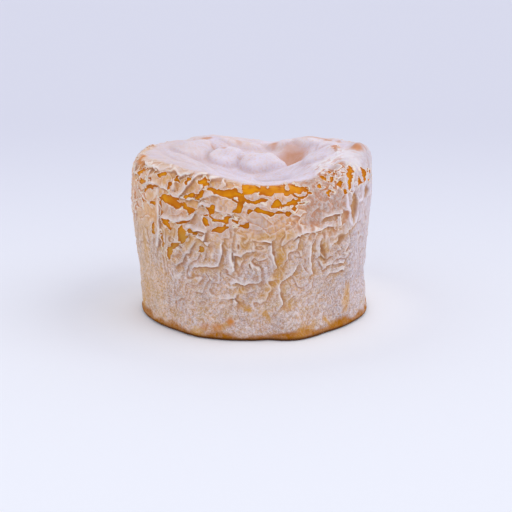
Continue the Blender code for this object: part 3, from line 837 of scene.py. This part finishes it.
def skin_fields(points, radius, even_height):
    """The relief of the skin in mm, and what the material reads of it."""
    at = regions(points, radius, even_height)
    lay_terraces(points, at)
    lay_folds(points, at)
    lay_plates(points, at)
    lift = skin_relief(points, even_height, at)
    behind = np.maximum(smoothstep(12, 24, points[:, 1]), 0.6 * smoothstep(-8, -20, points[:, 0]))
    sand = at.wall * smoothstep(37, 24, at.height + 6 * at.sway)
    return lift, {
        "cover": np.clip(at.cover, -2, 2),
        "phase": at.phase,
        "small": at.small,
        "small_relief": at.small_step,
        "relief": np.clip(1.15 * at.step, 0, 1),
        "bloom": bloom_share(points, at),
        "wet": smoothstep(3.1, 1.5, at.height + 1.8 * noise(points, 6, 70)),
        "foot": smoothstep(1.5, 0.5, at.height),
        "pocket": at.pocket,
        "cool_and_shade": cool_and_shade_share(points, at),
        "beige": at.in_hollow * behind * patchy(points, 5, 71, -0.5, 0.4),
        "cream": between(at.angle, *CREAM_SIDE) * at.wall * (1 - 0.5 * at.upper),
        "lilac": at.bare_side * at.wall * smoothstep(5, 12, at.height),
        "ridge": at.ridge,
        "crumbly": at.crumbly * at.wall,
        "stain": stains(points),
        "chalk": blobs(warp(points, 5.0, 1.5, 85), CHALK),
        "thin": patches(*wall_place(warp(points, 3.0, 0.9, 96)), THIN_PATCHES),
        "plated": at.plated,
        "plate_edge": np.clip(at.edge, -3, 3),
        "fold": at.fold * at.wall,
        "fold_edge": np.clip(at.from_fold, -3, 3),
        "sand": sand * (1 - 0.5 * at.bare_side * at.middle),
        "wall": at.wall,
        "warm": warm_share(at),
    }


# Materials

COLOURS = {
    "paste": (226, 150, 0),
    "deep paste": (204, 120, 0),
    "sandy paste": (204, 148, 56),
    # painted shadow on the paste just beyond the skin's edge
    "paste shade at skin edge": (190, 98, 0),
    "peach": (226, 180, 134),
    "deep peach": (216, 164, 94),
    "warm peach": (230, 174, 120),
    "thin peach": (222, 144, 64),
    "bloom": (220, 208, 214),
    "deep bloom": (204, 190, 192),
    "soft bloom": (224, 216, 232),
    "deep soft bloom": (216, 204, 216),
    "tan": (206, 158, 84),
    # a cool grey tint, also used as painted shade on the hollow's left
    "cool_and_shade": (182, 170, 174),
    "cream": (236, 212, 182),
    "lilac": (206, 200, 216),
    "ochre": (196, 158, 100),
    "pale grain": (234, 224, 228),
    "pale clump": (230, 218, 224),
    "brown grain": (146, 106, 76),
    "tan clump": (196, 146, 80),
    "dark dust": (132, 112, 112),
    "pale dust": (240, 232, 240),
    "orange grain": (208, 116, 28),
    "crumbs": (176, 150, 142),
    "shade": (166, 112, 70),
    "warm shade": (208, 118, 20),
    "broad lip": (232, 220, 218),
    # painted shade, golden, on the low side of a fold
    "golden shade below fold": (204, 156, 84),
    "thin patch": (204, 146, 34),
    # painted shadow line under a fold's edge
    "fold shadow line": (134, 98, 80),
    "lip": (248, 236, 226),
    # painted shade in creases
    "golden crease": (188, 122, 56),
    "crease": (184, 140, 124),
    "crest": (240, 230, 232),
    "ridge": (234, 226, 236),
    "hem": (246, 232, 214),
    "pocket": (172, 120, 80),
    "pale pocket": (192, 142, 92),
    "chalk": (238, 232, 238),
    "beige": (222, 196, 184),
    "hollow stain": (202, 142, 104),
    "stain": (206, 130, 56),
    "wet": (170, 104, 0),
    "foot": (96, 50, 0),
    # the floor with painted light: lit in front and shaded behind
    "floor lit in front": (236, 239, 247),
    "floor shaded behind": (213, 215, 229),
    # painted light round the cheese
    "floor lit round cheese": (246, 249, 255),
}


class Nodes:
    """A short way to add and join shader nodes."""

    def __init__(self, name):
        self.material = bpy.data.materials.new(name)
        self.material.use_nodes = True
        self.tree = self.material.node_tree
        self.shader = self.tree.nodes["Principled BSDF"]
        self.fields = {}

    def add(self, kind, **settings):
        node = self.tree.nodes.new("ShaderNode" + kind)
        for key, value in settings.items():
            setattr(node, key, value)
        return node

    def put(self, socket, value):
        if isinstance(value, bpy.types.NodeSocket):
            self.tree.links.new(value, socket)
        else:
            socket.default_value = value

    def surface(self, name, value):
        """Sets one input of the shader."""
        self.put(self.shader.inputs[name], value)

    def field(self, name):
        """The number that the mesh holds under this name."""
        if name not in self.fields:
            self.fields[name] = self.add("Attribute", attribute_name=name).outputs["Fac"]
        return self.fields[name]

    def math(self, operation, a, b=0.0, c=0.0, clamp=False):
        node = self.add("Math", operation=operation, use_clamp=clamp)
        for socket, value in zip(node.inputs, (a, b, c)):
            self.put(socket, value)
        return node.outputs[0]

    def mix(self, share, a, b):
        node = self.add("Mix", data_type="RGBA")
        self.put(node.inputs[0], share)
        self.put(node.inputs[6], a)
        self.put(node.inputs[7], b)
        return node.outputs[2]

    def times(self, first, *others):
        """The product of these."""
        for value in others:
            first = self.math("MULTIPLY", first, value)
        return first

    def over(self, under, name, *shares):
        """One colour of the list laid over another, by the product of these shares."""
        return self.mix(self.times(*shares), under, tone(name))

    def ramp(self, value, low, high, to_low=0.0, to_high=1.0):
        node = self.add("MapRange", interpolation_type="SMOOTHSTEP")
        for socket, given in zip(node.inputs, (value, low, high, to_low, to_high)):
            self.put(socket, given)
        return node.outputs[0]

    def grain(self, per_metre, detail=2.0, roughness=0.5):
        """Soft noise from 0 to 1."""
        node = self.add("TexNoise", noise_dimensions="3D")
        self.put(node.inputs["Vector"], self.add("TexCoord").outputs["Object"])
        for name, value in (("Scale", per_metre), ("Detail", detail), ("Roughness", roughness)):
            self.put(node.inputs[name], value)
        return node.outputs["Fac"]

    def grains(self, per_metre):
        """Cells like grains of sand: two random numbers for each, and the distance from its middle."""
        node = self.add("TexVoronoi")
        self.put(node.inputs["Vector"], self.add("TexCoord").outputs["Object"])
        node.inputs["Scale"].default_value = per_metre
        parts = self.add("SeparateColor")
        self.put(parts.inputs[0], node.outputs["Color"])
        return parts.outputs[0], parts.outputs[1], node.outputs["Distance"]


def srgb(red, green, blue):
    """A colour given in the usual 0 to 255, as the linear numbers that shaders take."""

    def linear(value):
        value /= 255
        return value / 12.92 if value <= 0.04045 else ((value + 0.055) / 1.055) ** 2.4

    return (linear(red), linear(green), linear(blue), 1.0)


def tone(name):
    return srgb(*COLOURS[name])


def lips_and_shades(n):
    """The pale lips of the wrinkles, plates and folds, and the shade under them."""
    part, relief = n.math("FRACT", n.field("phase")), n.field("relief")
    lip = n.times(n.ramp(part, 0.76, 0.86), n.ramp(part, 0.95, 0.90), relief, 0.65)
    under = n.math("ADD", n.ramp(part, 0.14, 0.0), n.ramp(part, 0.92, 0.98), clamp=True)
    under = n.times(under, relief)
    part, relief = n.math("FRACT", n.field("small")), n.field("small_relief")
    small_lip = n.times(n.ramp(part, 0.68, 0.86), n.ramp(part, 0.98, 0.90), relief, 0.4)
    lip = n.math("MAXIMUM", lip, small_lip)
    under = n.math("MAXIMUM", under, n.times(n.ramp(part, 0.25, 0.0), relief, 0.55))
    for edge_name, share_name in (("plate_edge", "plated"), ("fold_edge", "fold")):
        edge, share = n.field(edge_name), n.field(share_name)
        on = n.times(n.ramp(edge, 0.02, 0.14), n.ramp(edge, 0.60, 0.34), share)
        off = n.times(n.ramp(edge, -0.75, -0.15), n.ramp(edge, 0.06, -0.04), share)
        lip, under = n.math("MAXIMUM", lip, on), n.math("MAXIMUM", under, off)
    return lip, under


def paste_colour(n, broad, ragged):
    """The bare paste: sandier lower down, and darkened by a painted shadow just beyond the skin's edge."""
    paste = n.mix(n.ramp(broad, 0.35, 0.65), tone("paste"), tone("deep paste"))
    paste = n.over(paste, "sandy paste", n.ramp(n.field("sand"), 0.0, 0.7))
    # painted shadow: the paste darkens just beyond the skin's edge
    return n.over(paste, "paste shade at skin edge", n.ramp(ragged, -0.65, -0.05, 0.0, 0.6))


def bloomed_skin(n, broad, fine, ragged):
    """The peach skin with the bloom on it."""
    thin = n.times(n.ramp(ragged, 0.9, 0.25), n.field("warm"))
    peach = n.mix(n.ramp(broad, 0.3, 0.7), tone("peach"), tone("deep peach"))
    peach = n.over(peach, "warm peach", n.field("warm"), n.ramp(fine, 0.35, 0.6, 0.2, 0.7))
    peach = n.over(peach, "thin peach", thin, 0.8)
    white = n.mix(n.ramp(fine, 0.35, 0.7), tone("bloom"), tone("deep bloom"))
    soft_white = n.mix(n.ramp(broad, 0.3, 0.7), tone("soft bloom"), tone("deep soft bloom"))
    white = n.mix(n.field("wall"), soft_white, white)
    dusted = n.math("ADD", n.field("bloom"), n.ramp(fine, 0.3, 0.7, -0.40, 0.40), clamp=True)
    return n.mix(dusted, peach, white)


def tinted(n, cover, blotch):
    """The skin in the tints of its different sides."""
    sand, cool_and_shade = n.field("sand"), n.field("cool_and_shade")
    tan = n.math("MULTIPLY_ADD", sand, 0.35, n.times(n.field("wall"), 0.15))
    cover = n.over(cover, "tan", n.ramp(blotch, 0.46, 0.66), tan)
    # the cool grey is a real tint on the wall, and painted shade on the hollow's left
    for name, share in (("cool_and_shade", 0.5), ("cream", 0.4), ("lilac", 0.4)):
        cover = n.over(cover, name, n.field(name), share)
    dry = n.math("SUBTRACT", sand, cool_and_shade, clamp=True)
    return n.over(cover, "ochre", n.ramp(n.grain(150, 3.0, 0.6), 0.50, 0.64), dry, 0.6)


def grained(n, cover, sandy, blotch, grains):
    """The skin with its grains: light, brown and orange ones of three sizes."""
    clumps, dust = n.grains(1500), n.grains(3600)
    darker = n.math("MULTIPLY_ADD", n.field("cool_and_shade"), 0.35, 0.25)
    for number, low, name, share in (
        (grains[0], 0.74, "pale grain", 0.50),
        (clumps[0], 0.80, "pale clump", 0.45),
        (grains[1], 0.76, "brown grain", 0.50),
        (clumps[1], 0.74, "tan clump", 0.55),
        (dust[0], 0.70, "dark dust", darker),
        (dust[1], 0.76, "pale dust", 0.50),
    ):
        cover = n.over(cover, name, n.ramp(number, low, low + 0.08), sandy, share)
    orange = n.ramp(n.math("ADD", clumps[1], blotch), 1.12, 1.22)
    cover = n.over(cover, "orange grain", orange, n.field("crumbly"), 0.7)
    return n.over(cover, "crumbs", n.field("crumbly"), 0.5)


def creased(n, cover, blotch, speck, ragged):
    """The skin with its lips, folds and torn edges drawn on it, and painted shade under lips, beside folds
    and in creases.
    """
    lip, under = lips_and_shades(n)
    warm, wall, crease = n.field("warm"), n.field("wall"), n.field("crease")
    fold, from_fold = n.field("fold"), n.field("fold_edge")
    shade = n.times(under, n.math("MULTIPLY_ADD", warm, 0.2, 0.72))
    cover = n.mix(shade, cover, n.mix(warm, tone("shade"), tone("warm shade")))
    cover = n.over(cover, "broad lip", n.ramp(from_fold, 0.0, 0.3), n.ramp(from_fold, 2.2, 0.5), fold, 0.45)
    # painted shade: a broad golden shade on the low side of each large fold
    low_side = n.times(n.ramp(from_fold, 0.0, -0.3), n.ramp(from_fold, -2.4, -0.8))
    cover = n.over(cover, "golden shade below fold", low_side, fold, n.ramp(blotch, 0.38, 0.62, 0.15, 0.7))
    cover = n.over(cover, "thin patch", n.field("thin"), n.ramp(speck, 0.36, 0.60, 1.0, 0.6))
    # painted shadow: a thin dark line just under a fold's edge
    line = n.times(n.ramp(from_fold, -0.5, -0.15), n.ramp(from_fold, 0.05, -0.05))
    hem = n.times(n.ramp(ragged, 0.0, 0.06), n.ramp(ragged, 0.32, 0.14))
    for name, shares in (
        ("fold shadow line", (line, fold, 0.6)),
        ("lip", (lip, 0.88)),
        # painted shade in the creases, golden on the wall
        ("golden crease", (crease, wall, 0.45)),
        ("crease", (crease, 0.2)),
        ("crest", (n.field("crest"), 0.3)),
        ("ridge", (n.ramp(n.field("ridge"), 0.5, 0.95), 0.75)),
        ("hem", (hem, wall, 0.95)),
    ):
        cover = n.over(cover, name, *shares)
    return cover


def stained(n, cover, broad, blotch):
    """The skin with its pockets, chalk and stains, its moist orange foot, and a darker brown along its
    lowest mm.
    """
    pocket = n.mix(n.ramp(broad, 0.35, 0.65), tone("pocket"), tone("pale pocket"))
    cover = n.mix(n.times(n.field("pocket"), 0.9), cover, pocket)
    cover = n.over(cover, "chalk", n.field("chalk"), 0.7)
    cover = n.over(cover, "beige", n.field("beige"), n.ramp(blotch, 0.35, 0.6, 0.2, 0.75))
    stain = n.mix(n.field("wall"), tone("hollow stain"), tone("stain"))
    cover = n.mix(n.times(n.field("stain"), n.ramp(broad, 0.3, 0.7, 1.0, 0.75)), cover, stain)
    cover = n.over(cover, "wet", n.field("wet"), n.ramp(blotch, 0.35, 0.6, 1.0, 0.75))
    # darkest brown along the lowest mm of the foot
    return n.over(cover, "foot", n.field("foot"), 0.92)


def rind_material():
    """Golden paste under a peach skin, whitened by bloom, most of all on its crests and torn edges."""
    n = Nodes("rind")
    broad, fine = n.grain(260, 3.0), n.grain(1300, 3.0, 0.65)
    blotch, speck = n.grain(520, 4.0, 0.65), n.grain(1900, 2.0, 0.6)
    grains = n.grains(2700)
    ragged = n.math("SUBTRACT", n.grain(1300, 3.0, 0.6), 0.5)
    ragged = n.math("MULTIPLY_ADD", ragged, 0.5, n.field("cover"))
    skin = n.ramp(ragged, -0.03, 0.05)
    sandy = n.math("MAXIMUM", n.times(n.field("sand"), 0.8), n.field("crumbly"))

    cover = bloomed_skin(n, broad, fine, ragged)
    cover = tinted(n, cover, blotch)
    cover = grained(n, cover, sandy, blotch, grains)
    cover = creased(n, cover, blotch, speck, ragged)
    cover = stained(n, cover, broad, blotch)
    n.surface("Base Color", n.mix(skin, paste_colour(n, broad, ragged), cover))

    moist = n.math("MAXIMUM", n.field("wet"), n.field("foot"))
    shine = n.times(n.ramp(skin, 0, 1, 0.12, 0.3), n.ramp(moist, 0, 1, 1.0, 0.25))
    n.surface("Specular IOR Level", shine)
    n.surface("Roughness", n.ramp(skin, 0, 1, 0.38, 0.82))
    n.surface("Subsurface Weight", 0.12)
    n.surface("Subsurface Radius", (0.0010, 0.0006, 0.0003))
    n.surface("Subsurface Scale", 1.0)

    bump = n.add("Bump")
    bump.inputs["Distance"].default_value = 0.00025
    strength = n.times(n.ramp(skin, 0, 1, 0.10, 0.6), n.ramp(n.field("wall"), 0, 1, 0.4, 1.0))
    n.put(bump.inputs["Strength"], strength)
    rough = n.times(n.math("SUBTRACT", 0.6, grains[2]), sandy, 0.8)
    n.put(bump.inputs["Height"], n.math("ADD", fine, n.math("ADD", n.times(speck, 0.5), rough)))
    n.surface("Normal", bump.outputs[0])
    return n.material


def floor_material():
    """A pale sheet with painted light: a painted falloff darkens it a little towards the back, and painted
    light makes it palest just round the cheese.
    """
    n = Nodes("floor")
    where = n.add("TexCoord").outputs["Object"]
    place = n.add("SeparateXYZ")
    n.put(place.inputs[0], where)
    # painted falloff of light: lit in front, shaded towards the back
    sheet = n.mix(n.ramp(place.outputs["Y"], -0.15, 0.40), tone("floor lit in front"), tone("floor shaded behind"))
    from_axis = n.add("VectorMath", operation="LENGTH")
    n.put(from_axis.inputs[0], where)
    # painted light: palest in a ring round the cheese, lifting the shade it casts there
    near = n.ramp(from_axis.outputs["Value"], 0.062, 0.036)
    n.surface("Base Color", n.mix(near, sheet, tone("floor lit round cheese")))
    n.surface("Roughness", 0.9)
    n.surface("Specular IOR Level", 0.1)
    return n.material


# Pieces


def placed(name, data):
    """A new object in the scene."""
    thing = bpy.data.objects.new(name, data)
    bpy.context.scene.collection.objects.link(thing)
    return thing


def make_cheese():
    even, faces = even_body()
    triangles = triangles_of(faces)
    radius, even_height = np.hypot(even[:, 0], even[:, 1]), even[:, 2]
    body = body_form(even)
    lift, fields = skin_fields(body, radius, even_height)
    lift[even_height < UNDERSIDE] = 0
    shaped = body + vertex_normals(body, triangles) * lift[:, None]
    low, high = shaped.min(0), shaped.max(0)
    shaped[:, :2] -= (low + high)[:2] / 2

    # What stands above what is round it is whitened as a crest; what lies below it, also between the
    # hollow's lobes, gets painted shade.
    rise = lift - spread(lift, triangles, SKIN_ROUNDS)
    swell = body[:, 2] - even_height
    swell -= spread(swell, triangles, BODY_ROUNDS)
    rise += swell * (radius < RIM_RADIUS - 2) * (even_height > HOLLOW_ABOVE)
    fields["crest"] = np.clip(rise / CREST_AT, 0, 1)
    fields["crease"] = np.clip(-rise / CREST_AT, 0, 1)

    mesh = bpy.data.meshes.new("cheese_rind")
    mesh.from_pydata((shaped * MM).tolist(), [], faces)
    mesh.validate()
    for name, values in fields.items():
        layer = mesh.attributes.new(name, "FLOAT", "POINT")
        layer.data.foreach_set("value", values.astype(np.float32))
    mesh.shade_smooth()
    mesh.materials.append(rind_material())
    return placed("cheese_rind", mesh)


def make_floor():
    bpy.ops.mesh.primitive_plane_add(size=60, location=(0, 0, 0))
    floor = bpy.context.active_object
    floor.name = "floor"
    floor.data.materials.append(floor_material())


# The room's light, and the very soft one from the right: its spread, strength, and tips in degrees
ROOM_LIGHT = (0.88, 0.88, 0.93, 1.0)
KEY_SPREAD = 50
KEY_ENERGY = 0.60
KEY_TIPS = (6, 38)


def set_lights():
    light = bpy.data.lights.new("key", "SUN")
    light.angle = math.radians(KEY_SPREAD)
    light.energy = KEY_ENERGY
    placed("key", light).rotation_euler = (math.radians(KEY_TIPS[0]), math.radians(KEY_TIPS[1]), 0)
    world = bpy.data.worlds.new("world")
    bpy.context.scene.world = world
    world.use_nodes = True
    background = world.node_tree.nodes["Background"]
    background.inputs["Color"].default_value = ROOM_LIGHT
    background.inputs["Strength"].default_value = 1.0


# The photograph's camera: its distance and height, how far it tips down, and its focal length in pixels
CAMERA_DISTANCE = 0.400
CAMERA_HEIGHT = 0.123
CAMERA_TIP = 14.875
FOCAL_PIXELS = 1293.0
FRAME_PIXELS = 512
AXIS_PIXEL = 251.5


def set_camera():
    data = bpy.data.cameras.new("camera")
    data.sensor_width = 36.0
    data.lens = data.sensor_width * FOCAL_PIXELS / FRAME_PIXELS
    data.shift_x = (FRAME_PIXELS / 2 - AXIS_PIXEL) / FRAME_PIXELS
    camera = placed("camera", data)
    camera.location = (0, -CAMERA_DISTANCE, CAMERA_HEIGHT)
    camera.rotation_euler = (math.radians(90 - CAMERA_TIP), 0, 0)
    bpy.context.scene.camera = camera


def main():
    set_camera()
    cheese = make_cheese()
    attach(cheese, "root")
    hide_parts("cheese")
    make_floor()
    set_lights()
    bpy.context.scene.view_settings.view_transform = "Standard"


main()
